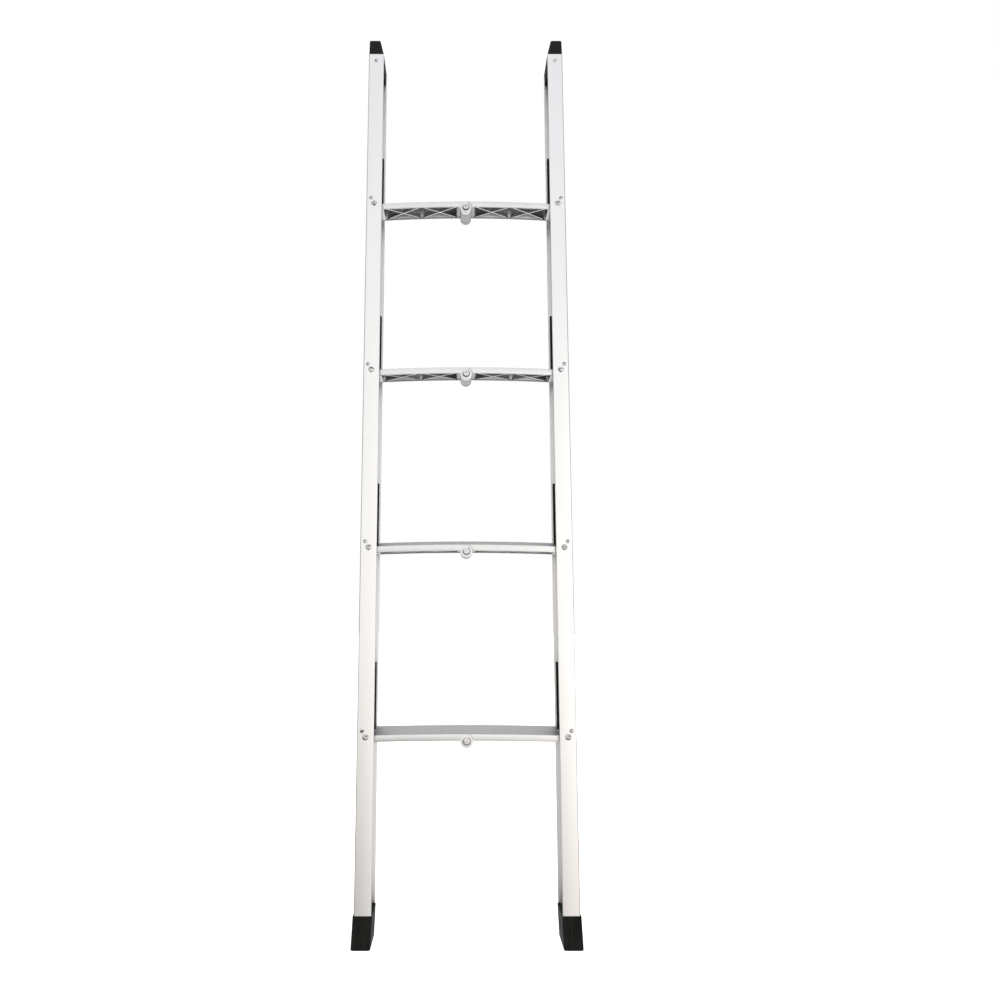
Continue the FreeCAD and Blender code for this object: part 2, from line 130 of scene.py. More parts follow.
def loft(name, rings, sharp_degrees=32):
    """Closed skin through rings of equal point counts, capped at both ends."""
    count = len(rings[0])
    vertices = [point for ring in rings for point in ring]
    faces = []
    for level in range(len(rings) - 1):
        base = level * count
        for i in range(count):
            j = (i + 1) % count
            faces.append((base + i, base + j, base + count + j, base + count + i))
    last = (len(rings) - 1) * count
    faces.append(tuple(reversed(range(count))))
    faces.append(tuple(range(last, last + count)))
    return mesh_object(name, vertices, faces, sharp_degrees)


def lathe(name, profile, x, z, segments=48):
    """Solid of revolution about a line along Y; profile is (radius, y) pairs from axis to axis or closed."""
    vertices = []
    faces = []
    turns = [2 * math.pi * i / segments for i in range(segments)]
    for radius, y in profile:
        for turn in turns:
            vertices.append((x + radius * math.cos(turn), y, z + radius * math.sin(turn)))
    closed = profile[0][0] > 1e-7
    levels = len(profile)
    for level in range(levels if closed else levels - 1):
        above = (level + 1) % levels
        for i in range(segments):
            j = (i + 1) % segments
            faces.append((level * segments + i, level * segments + j,
                          above * segments + j, above * segments + i))
    return mesh_object(name, vertices, faces)


def arc(centre, radius, start_degrees, end_degrees, steps):
    """Points on an arc in a plane, ends included."""
    points = []
    for i in range(steps + 1):
        turn = math.radians(start_degrees + (end_degrees - start_degrees) * i / steps)
        points.append((centre[0] + radius * math.cos(turn), centre[1] + radius * math.sin(turn)))
    return points


def rounded_corner(previous, corner, following, radius, steps):
    """Points round a corner between two straight stretches."""
    here = Vector(corner)
    before = (Vector(previous) - here).normalized()
    after = (Vector(following) - here).normalized()
    half = math.acos(max(-1.0, min(1.0, before.dot(after)))) / 2
    reach = radius / math.tan(half)
    centre = here + (before + after).normalized() * (radius / math.sin(half))
    start = here + before * reach - centre
    end = here + after * reach - centre
    sweep = start.angle_signed(end)
    points = []
    for step in range(steps + 1):
        turn = -sweep * step / steps
        spun = Vector((start.x * math.cos(turn) - start.y * math.sin(turn),
                       start.x * math.sin(turn) + start.y * math.cos(turn)))
        points.append(tuple(centre + spun))
    return points


def rounded_outline(corners, steps=5):
    """Closed outline through (a, b, radius) corners, each rounded by its radius."""
    outline = []
    count = len(corners)
    for index in range(count):
        a, b, radius = corners[index]
        if radius <= 0:
            outline.append((a, b))
            continue
        previous = corners[index - 1][:2]
        following = corners[(index + 1) % count][:2]
        outline += rounded_corner(previous, (a, b), following, radius, steps)
    return outline


def front_round(radius, front, edge, steps):
    """Profile points of a rounded edge from a front face to the side of a lathed piece."""
    return [(radius - edge + edge * math.sin(turn), front + edge - edge * math.cos(turn))
            for turn in np.linspace(0, math.pi / 2, steps)]


def back_round(radius, back, edge, steps):
    """Profile points of a rounded edge from the side of a lathed piece to its back face."""
    return [(radius - edge + edge * math.cos(turn), back - edge + edge * math.sin(turn))
            for turn in np.linspace(0, math.pi / 2, steps)]


def bore(x, z):
    """Tool for the hole that a rivet or bolt goes through."""
    profile = [(0.0, -CUT_ALONG), (BORE_RADIUS, -CUT_ALONG), (BORE_RADIUS, CUT_ALONG), (0.0, CUT_ALONG)]
    return lathe("bore", profile, x, z)


def block(name, low, high, bevel=0.0):
    """Box between two corners with rounded edges."""
    (x0, y0, z0), (x1, y1, z1) = low, high
    vertices = [(x, y, z) for z in (z0, z1) for y in (y0, y1) for x in (x0, x1)]
    faces = [(0, 1, 3, 2), (4, 6, 7, 5), (0, 4, 5, 1), (2, 3, 7, 6), (0, 2, 6, 4), (1, 5, 7, 3)]
    obj = mesh_object(name, vertices, faces)
    if bevel > 0:
        soften(obj, bevel)
    return obj


def apply_modifiers(obj):
    """Keep what the modifiers make, and drop them."""
    graph = bpy.context.evaluated_depsgraph_get()
    made = bpy.data.meshes.new_from_object(obj.evaluated_get(graph))
    obj.modifiers.clear()
    old = obj.data
    obj.data = made
    made.name = obj.name
    bpy.data.meshes.remove(old)
    return obj


def soften(obj, width):
    """Round the edges of an object."""
    bevel = obj.modifiers.new("soften", "BEVEL")
    bevel.width = width
    bevel.segments = 3
    bevel.limit_method = "ANGLE"
    bevel.angle_limit = math.radians(30)
    apply_modifiers(obj)
    return shade(obj, 40)


def combine(obj, tools, operation):
    """Boolean with each tool in turn; the tools are used up."""
    for tool in tools:
        step = obj.modifiers.new("combine", "BOOLEAN")
        step.operation = operation
        step.solver = "EXACT"
        step.object = tool
        apply_modifiers(obj)
        bpy.data.objects.remove(tool)
    return shade(obj)


def join(name, parts):
    """One object from several separate shells."""
    joined = bmesh.new()
    for part in parts:
        joined.from_mesh(part.data)
    mesh = bpy.data.meshes.new(name)
    joined.to_mesh(mesh)
    joined.free()
    for part in parts:
        bpy.data.objects.remove(part)
    obj = bpy.data.objects.new(name, mesh)
    scene.collection.objects.link(obj)
    return obj


def mirrored(name, source):
    """Copy of an object on the other side of the ladder."""
    mesh = source.data.copy()
    mesh.name = name
    mesh.transform(Matrix.Scale(-1, 4, (1, 0, 0)))
    mesh.flip_normals()
    obj = bpy.data.objects.new(name, mesh)
    scene.collection.objects.link(obj)
    return obj


def raised(name, source, z):
    """Copy of an object, sharing its mesh, at another height."""
    obj = bpy.data.objects.new(name, source.data)
    obj.location.z = z
    scene.collection.objects.link(obj)
    return obj


def finish_piece(obj, body, node, slot):
    """Give a piece its material and its body, and hide the CAD node that it stands for."""
    obj.data.materials.clear()
    obj.data.materials.append(MATERIALS[slot])
    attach(obj, body)
    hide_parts(node)
    return obj


# ---------------------------------------------------------------------------------------------------
# Materials
# ---------------------------------------------------------------------------------------------------

class Nodes:
    """Short names for building a node material."""

    def __init__(self, name):
        self.material = bpy.data.materials.new(name)
        self.material.use_nodes = True
        self.tree = self.material.node_tree
        self.shader = self.tree.nodes["Principled BSDF"]
        self.place = self.add("ShaderNodeTexCoord").outputs["Object"]

    def add(self, kind, **settings):
        node = self.tree.nodes.new(kind)
        for key, value in settings.items():
            setattr(node, key, value)
        return node

    def link(self, source, target):
        self.tree.links.new(source, target)

    def stretched(self, scale):
        mapping = self.add("ShaderNodeMapping")
        mapping.inputs["Scale"].default_value = scale
        self.link(self.place, mapping.inputs["Vector"])
        return mapping.outputs["Vector"]

    def noise(self, size, detail=3.0, roughness=0.5, stretch=(1, 1, 1)):
        """Noise whose blobs are about size metres across."""
        node = self.add("ShaderNodeTexNoise")
        node.inputs["Scale"].default_value = 1.0 / size
        node.inputs["Detail"].default_value = detail
        node.inputs["Roughness"].default_value = roughness
        self.link(self.stretched(stretch), node.inputs["Vector"])
        return node.outputs["Fac"]

    def ramp(self, value, low, high, low_colour, high_colour):
        node = self.add("ShaderNodeValToRGB")
        node.color_ramp.elements[0].position = low
        node.color_ramp.elements[1].position = high
        node.color_ramp.elements[0].color = (*low_colour, 1)
        node.color_ramp.elements[1].color = (*high_colour, 1)
        self.link(value, node.inputs["Fac"])
        return node.outputs["Color"]

    def range(self, value, low, high):
        node = self.add("ShaderNodeMapRange")
        node.inputs["To Min"].default_value = low
        node.inputs["To Max"].default_value = high
        self.link(value, node.inputs["Value"])
        return node.outputs["Result"]

    def ease(self, value, start, end):
        """0 before start, 1 past end, smooth between them."""
        node = self.add("ShaderNodeMapRange", interpolation_type="SMOOTHSTEP")
        node.inputs["From Min"].default_value = start
        node.inputs["From Max"].default_value = end
        self.link(value, node.inputs["Value"])
        return node.outputs["Result"]

    def product(self, first, *others):
        for other in others:
            first = self.maths("MULTIPLY", first, other)
        return first

    def maths(self, operation, first, second=0.0):
        node = self.add("ShaderNodeMath", operation=operation)
        for socket, value in zip(node.inputs, (first, second)):
            if isinstance(value, (int, float)):
                socket.default_value = value
            else:
                self.link(value, socket)
        return node.outputs["Value"]

    def mix(self, factor, first, second):
        node = self.add("ShaderNodeMix", data_type="RGBA")
        self.link(factor, node.inputs["Factor"])
        for socket, value in ((node.inputs[6], first), (node.inputs[7], second)):
            if isinstance(value, tuple):
                socket.default_value = (*value, 1)
            else:
                self.link(value, socket)
        return node.outputs[2]

    def bump(self, height, depth, strength=1.0, normal=None):
        node = self.add("ShaderNodeBump")
        node.inputs["Distance"].default_value = depth
        node.inputs["Strength"].default_value = strength
        self.link(height, node.inputs["Height"])
        if normal is not None:
            self.link(normal, node.inputs["Normal"])
        return node.outputs["Normal"]

    def set(self, **values):
        names = {"colour": "Base Color", "metallic": "Metallic", "roughness": "Roughness",
                 "normal": "Normal", "specular": "Specular IOR Level",
                 "glow": "Emission Color", "glow_strength": "Emission Strength"}
        for key, value in values.items():
            socket = self.shader.inputs[names[key]]
            if isinstance(value, tuple):
                socket.default_value = (*value, 1)
            elif isinstance(value, (int, float)):
                socket.default_value = value
            else:
                self.link(value, socket)


def anodised_aluminium():
    """Satin extrusion: fine lines along its length, faint clouding and a few scuffs."""
    n = Nodes("anodised_aluminium")
    lines = n.noise(0.0009, 2.0, 0.6, (1, 1, 0.012))
    broad = n.noise(0.006, 2.0, 0.5, (1, 1, 0.03))
    cloud = n.noise(0.09, 3.0, 0.55, (1, 1, 0.4))
    grain = n.noise(0.0004, 2.0, 0.5)
    streaks = n.maths("ADD", n.product(lines, 0.6), n.product(broad, 0.4))
    tone = n.maths("ADD", n.product(streaks, 0.5), n.product(cloud, 0.5))
    n.set(colour=n.ramp(tone, 0.3, 0.7, (0.84, 0.845, 0.85), (0.905, 0.905, 0.91)), metallic=1.0,
          roughness=n.range(tone, 0.30, 0.40))
    fine = n.bump(grain, 0.00002, 0.25)
    n.set(normal=n.bump(streaks, 0.00004, 0.35, fine))
    return n.material


def painted_shade_mask(n):
    """How much painted shade a place on a half tread gets: inside its pockets, under and beside its barrel,
    along its rear lip's foot and in its bolt's groove.
    """
    axes = n.add("ShaderNodeSeparateXYZ")
    n.link(n.place, axes.inputs["Vector"])
    x, y, z = (axes.outputs[name] for name in "XYZ")

    # The place as it would be if the tread were straight: depth behind the front face, level above the
    # pivot, and the level with the slope of the top taken off
    along = n.product(x, x, 1 / PIVOT_X ** 2)
    depth = n.maths("SUBTRACT", n.maths("SUBTRACT", y, TREAD_FRONT), n.product(along, TREAD_BOW))
    level = n.maths("ADD", z, n.product(along, TREAD_ARCH))
    sloped = n.maths("SUBTRACT", level, n.product(depth, TREAD_SLOPE))
    reach = n.maths("ABSOLUTE", x)

    # Painted shade in the pockets between the ribs, made a little lighter towards the rear lip
    behind_front_lip = n.ease(depth, LIP - MM, LIP)
    before_rear_lip = n.ease(depth, 43 * MM, 40 * MM)
    between = n.product(behind_front_lip, before_rear_lip)
    above_lip_foot = n.ease(level, LIP_BOTTOM + 1.4 * MM, LIP_BOTTOM + 4.5 * MM)
    under_skin = n.ease(sloped, 3.4 * MM, 2.6 * MM)
    rear_fade = n.maths("SUBTRACT", 1.0, n.product(n.ease(depth, 28 * MM, 43 * MM), 0.2))
    pocket = n.product(between, above_lip_foot, under_skin, rear_fade)

    # Painted shadow line along the bottom edge of the rear lip
    in_rear_lip = n.ease(depth, 41 * MM, 42 * MM)
    low_down = n.ease(level, -3.2 * MM, -4.2 * MM)
    clear_of_knuckle = n.ease(reach, 10 * MM, 12 * MM)
    foot = n.product(in_rear_lip, low_down, clear_of_knuckle)

    # Painted shade under and beside the knuckle barrel, on its lower half
    within_leaves = n.ease(reach, 10.5 * MM, 10.4 * MM)
    behind_front_leaf = n.ease(depth, LEAF_LENGTH, LEAF_LENGTH + 0.4 * MM)
    leaves = n.product(within_leaves, behind_front_leaf)
    past_leaves = n.ease(reach, 10.4 * MM, 10.5 * MM)
    near_knuckle = n.ease(reach, 18 * MM, 16.5 * MM)
    beside = n.product(past_leaves, near_knuckle, between)
    lower_half = n.ease(level, 1 * MM, -2 * MM)
    barrel = n.product(n.maths("MAXIMUM", leaves, beside), lower_half)

    # Painted shade in the ring groove round the bolt's head
    drop = n.maths("SUBTRACT", z, KNUCKLE_Z)
    radius = n.maths("SQRT", n.maths("ADD", n.product(x, x), n.product(drop, drop)))
    groove = n.product(n.ease(radius, 7.2 * MM, 6.9 * MM), n.ease(depth, 0.1 * MM, 0.4 * MM))
    hollow_shade = n.product(n.maths("MAXIMUM", pocket, barrel), 0.95)
    return n.maths("MAXIMUM", n.maths("MAXIMUM", hollow_shade, foot), groove)


def cast_aluminium():
    """Bead-blasted casting with fine lengthwise lines, darkened by painted shade in its pockets, round its
    barrel, along its rear lip's foot and in its bolt's groove, and a little rougher there.
    """
    n = Nodes("cast_aluminium")
    sand = n.noise(0.0007, 3.0, 0.6)
    grit = n.noise(0.0016, 4.0, 0.7)
    mottle = n.noise(0.012, 3.0, 0.5)
    lines = n.noise(0.0012, 2.0, 0.5, (0.02, 1, 1))
    tone = n.maths("ADD", n.product(mottle, 0.35), n.product(lines, 0.65))
    base_colour = n.ramp(tone, 0.3, 0.72, (0.74, 0.75, 0.765), (0.84, 0.845, 0.855))
    # Dark grainy colour of the painted shade
    shade_colour = n.ramp(grit, 0.35, 0.65, (0.34, 0.34, 0.348), (0.58, 0.58, 0.59))
    shade_and_roughness = painted_shade_mask(n)
    n.set(colour=n.mix(shade_and_roughness, base_colour, shade_colour), metallic=1.0,
          roughness=n.maths("ADD", n.range(tone, 0.34, 0.44), n.product(shade_and_roughness, 0.08)))
    coarse = n.bump(sand, 0.00006, 0.45)
    n.set(normal=n.bump(lines, 0.00003, 0.3, coarse))
    return n.material


def satin_steel(name, low, high, size, clear):
    """Machined stainless steel with turning marks, and darker smears where the noise is below clear."""
    n = Nodes(name)
    smear = n.noise(size, 4.0, 0.6)
    marks = n.noise(0.0003, 2.0, 0.5)
    n.set(colour=n.ramp(smear, 0.35, clear, low, high), metallic=1.0, roughness=n.range(smear, 0.24, 0.42),
          normal=n.bump(marks, 0.00003, 0.3))
    return n.material


def black_plastic():
    """Spark-textured moulding with slightly polished patches."""
    n = Nodes("black_plastic")
    texture = n.noise(0.0006, 3.0, 0.6)
    patch = n.noise(0.005, 5.0, 0.7)
    n.set(colour=n.ramp(patch, 0.35, 0.65, (0.004, 0.004, 0.0045), (0.015, 0.015, 0.016)), specular=0.18,
          roughness=n.range(patch, 0.45, 0.60), normal=n.bump(texture, 0.00008, 0.5))
    return n.material


def black_rubber():
    """Matt rubber with moulding texture, pale dust and rubbed streaks."""
    n = Nodes("black_rubber")
    texture = n.noise(0.0009, 4.0, 0.65)
    streak = n.noise(0.004, 4.0, 0.6, (1, 1, 0.10))
    dust = n.noise(0.02, 5.0, 0.65)
    base = n.ramp(streak, 0.38, 0.62, (0.002, 0.0022, 0.002), (0.014, 0.0145, 0.014))
    n.set(colour=n.mix(n.range(dust, 0.0, 0.5), base, (0.018, 0.019, 0.017)), specular=0.16,
          roughness=n.range(dust, 0.55, 0.75), normal=n.bump(texture, 0.0001, 0.5))
    return n.material


MATERIALS = {
    "anodised_aluminium": anodised_aluminium(),
    "cast_aluminium": cast_aluminium(),
    "rivet_steel": satin_steel("rivet_steel", (0.10, 0.10, 0.105), (0.72, 0.72, 0.73), 0.0035, 0.52),
    "bolt_steel": satin_steel("bolt_steel", (0.50, 0.50, 0.51), (0.80, 0.80, 0.81), 0.002, 0.6),
    "black_plastic": black_plastic(),
    "black_rubber": black_rubber(),
}


# ---------------------------------------------------------------------------------------------------
# Stiles
# ---------------------------------------------------------------------------------------------------

def on_side(side, x):
    """X of a point drawn about the left pivot line, with +x towards the middle."""
    return side * (PIVOT_X - x)


def channel(name, side, heights):
    """Channel with its mouth towards the middle of the ladder, through the given heights."""
    inside = HALF_DEPTH - WALL
    web = -HALF_WIDTH + WALL
    tip = WALL * 0.42
    corners = [
        (HALF_WIDTH, -HALF_DEPTH, tip), (HALF_WIDTH, -inside, tip), (web, -inside, WALL * 0.4),
        (web, inside, WALL * 0.4), (HALF_WIDTH, inside, tip), (HALF_WIDTH, HALF_DEPTH, tip),
        (-HALF_WIDTH, HALF_DEPTH, STILE_CORNER), (-HALF_WIDTH, -HALF_DEPTH, STILE_CORNER),
    ]
    outline = rounded_outline(corners, 6)
    return loft(name, [[(on_side(side, x), y, z) for x, y in outline] for z in heights])


for label, side in SIDES:
    piece = channel(label + "_stile_extrusion", side, np.linspace(STILE_BOTTOM, STILE_TOP, 25))
    finish_piece(piece, label + "_stile", label + "_stile", "anodised_aluminium")


# ---------------------------------------------------------------------------------------------------
# Rivets and stop pins
# ---------------------------------------------------------------------------------------------------

def rivet_profile(shank, head, height):
    """Half section of a rivet with a low dome and a shallow dimple at both ends."""
    dimple_radius = head * 0.30
    dimple_rise = height * 0.62
    rim = 0.12
    dome = []
    for turn in np.linspace(0, math.pi / 2, 9):
        radius = head * math.sin(turn)
        rise = height * (rim + (1 - rim) * math.cos(turn) ** 0.8)
        if radius < dimple_radius:
            rise = dimple_rise
        dome.append((radius, rise))
    front = [(radius, -HALF_DEPTH - rise) for radius, rise in dome] + [(head, -HALF_DEPTH)]
    back = [(radius, -y) for radius, y in reversed(front)]
    return front + [(shank, -HALF_DEPTH), (shank, HALF_DEPTH)] + back


for label, side in SIDES:
    for node, x, lift, sizes in (
            ("pivot_rivets", 0.0, 0.0, (3.0 * MM, 4.8 * MM, 1.8 * MM)),
            ("stop_pins", -5.5 * MM, 9.7 * MM, (2.5 * MM, 3.2 * MM, 1.5 * MM))):
        heads = [lathe("rivet", rivet_profile(*sizes), on_side(side, x), z + lift) for z in PIVOT_Z]
        piece = join("%s_%s_domed" % (label, node), heads)
        finish_piece(piece, label + "_stile", "%s_%s" % (label, node), "rivet_steel")


# ---------------------------------------------------------------------------------------------------
# Spacer sleeves between the tread ends and the flanges
# ---------------------------------------------------------------------------------------------------

def sleeve_profile(front, back):
    """Half section of a tube with chamfered outer edges."""
    inner = BORE_RADIUS
    outer = 5.5 * MM
    edge = 0.4 * MM
    return [(inner, front), (outer - edge, front), (outer, front + edge), (outer, back - edge),
            (outer - edge, back), (inner, back)]


for label, side in SIDES:
    inside = HALF_DEPTH - WALL
    end_front = TREAD_FRONT + TREAD_BOW
    spans = ((-inside, end_front - HINGE_GAP), (end_front + TREAD_DEPTH + HINGE_GAP, inside))
    sleeves = []
    for z in PIVOT_Z:
        for front, back in spans:
            sleeves.append(lathe("sleeve", sleeve_profile(front, back), on_side(side, 0.0), z, 32))
    piece = join(label + "_pivot_sleeves", sleeves)
    finish_piece(piece, label + "_stile", label + "_pivot_spacers", "black_plastic")


# ---------------------------------------------------------------------------------------------------
# Liners
# ---------------------------------------------------------------------------------------------------

def liner(side, z):
    """U-shaped moulding whose front wall thins upwards, as the folded tread bows towards it."""
    low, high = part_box("left_liner_1")
    bottom = low.z - PIVOT_Z[0]
    top = high.z - PIVOT_Z[0]
    inside = high.y
    web = low.x + PIVOT_X
    mouth = high.x + PIVOT_X
    trough = web + 1.2 * MM
    clearance = 0.5 * MM
    back_face = TREAD_FRONT + TREAD_BOW + TREAD_DEPTH + clearance
    rings = []
    for share in np.linspace(0, 1, 15):
        height = bottom + (top - bottom) * share
        from_middle = (PIVOT_X - height) / PIVOT_X
        front_face = TREAD_FRONT + TREAD_BOW * from_middle ** 2 - clearance
        tip = (front_face + inside) * 0.4
        corners = [
            (web, -inside, 0.0), (mouth, -inside, tip), (mouth, front_face, tip),
            (trough, front_face, 0.6 * MM), (trough, back_face, 0.6 * MM), (mouth, back_face, 1.0 * MM),
            (mouth, inside, 0.6 * MM), (web, inside, 0.0),
        ]
        rings.append([(on_side(side, x), y, z + height) for x, y in rounded_outline(corners, 4)])
    return loft("liner", rings)


for label, side in SIDES:
    for rung, z in zip(RUNGS, PIVOT_Z):
        piece = liner(side, z)
        piece.name = "%s_liner_moulding_%d" % (label, rung)
        finish_piece(piece, label + "_stile", "%s_liner_%d" % (label, rung), "black_plastic")


# ---------------------------------------------------------------------------------------------------
# Top caps
# ---------------------------------------------------------------------------------------------------

def rectangle(x_low, x_high, depth, radius, steps):
    """Outline of a rectangle with rounded corners, as deep behind the middle as in front of it."""
    corners = [(x_low, -depth, radius), (x_high, -depth, radius), (x_high, depth, radius),
               (x_low, depth, radius)]
    return rounded_outline(corners, steps)


def top_cap(side):
    """Wedge-shaped head with softened edges, over a plug inside the channel."""
    low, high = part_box("left_top_cap")
    seat = STILE_TOP
    top = high.z
    depth = high.y
    base_left = -HALF_WIDTH + 0.3 * MM
    base_right = HALF_WIDTH - 0.3 * MM
    crown_left = -HALF_WIDTH + 1.0 * MM
    crown_right = crown_left + 19.2 * MM
    base_edge = 0.5 * MM
    crown_edge = 1.6 * MM
    rings = []

    def ring(share, shrink, z):
        x_low = base_left + (crown_left - base_left) * share + shrink
        x_high = base_right + (crown_right - base_right) * share - shrink
        outline = rectangle(x_low, x_high, depth - shrink, STILE_CORNER, 6)
        rings.append([(on_side(side, x), y, z) for x, y in outline])

    ring(0.0, base_edge, seat)
    ring(0.0, 0.0, seat + base_edge)
    height = top - crown_edge - seat
    for share in (0.25, 0.5, 0.75, 1.0):
        ring(share * height / (top - seat), 0.0, seat + height * share)
    for turn in np.linspace(0, math.pi / 2, 6)[1:]:
        z = top - crown_edge + crown_edge * math.sin(turn)
        ring((z - seat) / (top - seat), crown_edge * (1 - math.cos(turn)), z)
    return join("cap", [loft("head", rings), cap_plug(side, low.z, seat)])


def cap_plug(side, bottom, seat):
    """Hollow plug with a tapered lower end."""
    inside = HALF_DEPTH - WALL
    web = -HALF_WIDTH + WALL
    mouth = HALF_WIDTH - 1.0 * MM
    wall = 3.0 * MM
    taper = 0.8 * MM
    outline = rectangle(web, mouth, inside, 0.8 * MM, 3)
    tapered = [(x * 0.97, y * 0.985) for x, y in outline]
    rings = [[(on_side(side, x), y, z) for x, y in points]
             for points, z in ((outline, seat + 0.2 * MM), (outline, bottom + taper), (tapered, bottom))]
    plug = loft("plug", rings)
    hollow_x = sorted((on_side(side, web + wall), on_side(side, mouth - wall)))
    hollow = block("hollow", (hollow_x[0], -inside + 3 * wall, bottom - 5 * MM),
                   (hollow_x[1], inside - wall, seat - 2 * MM), 1.0 * MM)
    return combine(plug, [hollow], "DIFFERENCE")


def cap_screw(side):
    """Small cross-recessed pan head on the front flange."""
    low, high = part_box("left_cap_screw")
    z = (low.z + high.z) / 2
    radius = (high.z - low.z) / 2
    height = -HALF_DEPTH - low.y
    shank = 1.8 * MM
    profile = [(0.0, -HALF_DEPTH - height)]
    for share in np.linspace(0.25, 1.0, 7):
        turn = share * math.pi / 2
        profile.append((radius * math.sin(turn), -HALF_DEPTH - height * math.cos(turn) ** 0.6))
    profile += [(shank, -HALF_DEPTH), (shank, high.y), (0.0, high.y)]
    middle = on_side(side, 0.0)
    screw = lathe("screw", profile, middle, z, 32)
    slot_length = radius * 0.7
    slot_width = 0.7 * MM
    slot_floor = -HALF_DEPTH - height + 0.8 * MM
    slots = []
    for wide, tall in ((slot_length, slot_width), (slot_width, slot_length)):
        slots.append(block("slot", (middle - wide, -HALF_DEPTH - height - MM, z - tall),
                           (middle + wide, slot_floor, z + tall)))
    return combine(screw, slots, "DIFFERENCE")


for label, side in SIDES:
    piece = top_cap(side)
    piece.name = label + "_cap_moulding"
    finish_piece(shade(piece, 40), label + "_stile", label + "_top_cap", "black_plastic")
    piece = cap_screw(side)
    piece.name = label + "_cap_pan_screw"
    finish_piece(piece, label + "_stile", label + "_cap_screw", "rivet_steel")


# ---------------------------------------------------------------------------------------------------
# Boots
# ---------------------------------------------------------------------------------------------------

def boot(side):
    """Rubber foot with a rolled rim, faint flutes down its faces and a grooved sole."""
    low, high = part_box("left_boot")
    height = high.z
    depth = high.y
    sole_left = low.x + PIVOT_X
    sole_right = HALF_WIDTH - 0.8 * MM
    rim_left = -HALF_WIDTH - 1.7 * MM
    rim_right = HALF_WIDTH + 1.2 * MM
    corner = 2.6 * MM
    flute_depth = 0.5 * MM
    sole_edge = 2.0 * MM
    rim_edge = 0.6 * MM
    rings = []

    def ring(share, shrink, z):
        x_low = sole_left + (rim_left - sole_left) * share + shrink
        x_high = sole_right + (rim_right - sole_right) * share - shrink
        flute = flute_depth * math.sin(math.pi * min(1.0, max(0.0, (share - 0.25) / 0.6))) ** 2
        outline = fluted(rectangle(x_low, x_high, depth - shrink, corner, 6), flute)
        rings.append([(on_side(side, x), y, z) for x, y in outline])

    for turn in np.linspace(0, math.pi / 2, 5):
        ring(0.0, sole_edge * (1 - math.sin(turn)), sole_edge * (1 - math.cos(turn)))
    for share in np.linspace(0.06, 0.97, 18):
        ring(share, 0.0, height * share)
    for turn in np.linspace(0, math.pi / 2, 5)[1:]:
        ring(1.0, rim_edge * (1 - math.cos(turn)), height - rim_edge * (1 - math.sin(turn)))
    body = loft("boot", rings, 50)
    socket = channel("socket", side, (STILE_BOTTOM, height + 5 * MM))
    return combine(body, [socket] + sole_grooves(side, depth), "DIFFERENCE")


def sole_grooves(side, depth, count=5):
    """Tools for the grooves across the sole."""
    half_groove = 1.2 * MM
    half_length = 30 * MM
    groove_top = 2 * MM
    pitch = 2 * depth / (count + 1)
    ends = sorted((on_side(side, -half_length), on_side(side, half_length)))
    grooves = []
    for index in range(count):
        middle = -depth + pitch * (index + 1)
        grooves.append(block("groove", (ends[0], middle - half_groove, -MM),
                             (ends[1], middle + half_groove, groove_top)))
    return grooves


def fluted(outline, amount):
    """The outline with its straight stretches divided and pressed in by shallow flutes."""
    shortest = 8 * MM
    flute_pitch = 4.6 * MM
    pieces = 40
    result = []
    count = len(outline)
    for index in range(count):
        a = Vector(outline[index])
        b = Vector(outline[(index + 1) % count])
        result.append(tuple(a))
        length = (b - a).length
        if length < shortest:
            continue
        along = (b - a).normalized()
        inward = Vector((-along.y, along.x))
        for step in range(1, pieces):
            share = step / pieces
            fade = min(1.0, 4 * share, 4 * (1 - share))
            wave = 0.5 - 0.5 * math.cos(2 * math.pi * share * round(length / flute_pitch))
            result.append(tuple(a + along * length * share + inward * amount * fade * wave))
    return result


for label, side in SIDES:
    piece = boot(side)
    piece.name = label + "_boot_rubber"
    finish_piece(shade(piece, 45), label + "_stile", label + "_boot", "black_rubber")


# ---------------------------------------------------------------------------------------------------
# Half treads.  Drawn for the left half about the pivot height, then mirrored for the right half.
# ---------------------------------------------------------------------------------------------------

GROOVE_PITCH = 3.4 * MM
GROOVE_DEPTH = 0.2 * MM
REAR_LIP_DRAFT = 4.5 * MM
REAR_LIP_COVE = 7.0 * MM
RIB_PITCH = 64.3 * MM
RIB_START = 13.7 * MM
BLOCK_REACH = 15.3 * MM
RIB_HALF = 1.0 * MM
RIB_LIFT = 1.2 * MM
COVE = 7.0 * MM
END_COVE = 0.6


def tread_place(x):
    """Front face, lip top and lip bottom of the bowed, arched tread at one place along it."""
    share = x / PIVOT_X
    front = TREAD_FRONT + TREAD_BOW * share ** 2
    drop = TREAD_ARCH * share ** 2
    return front, LIP_TOP - drop, LIP_BOTTOM - drop


def underside(x, y):
    """Height of the skin's lower face."""
    front, top, _ = tread_place(x)
    return top - TREAD_SKIN + (y - front) * TREAD_SLOPE


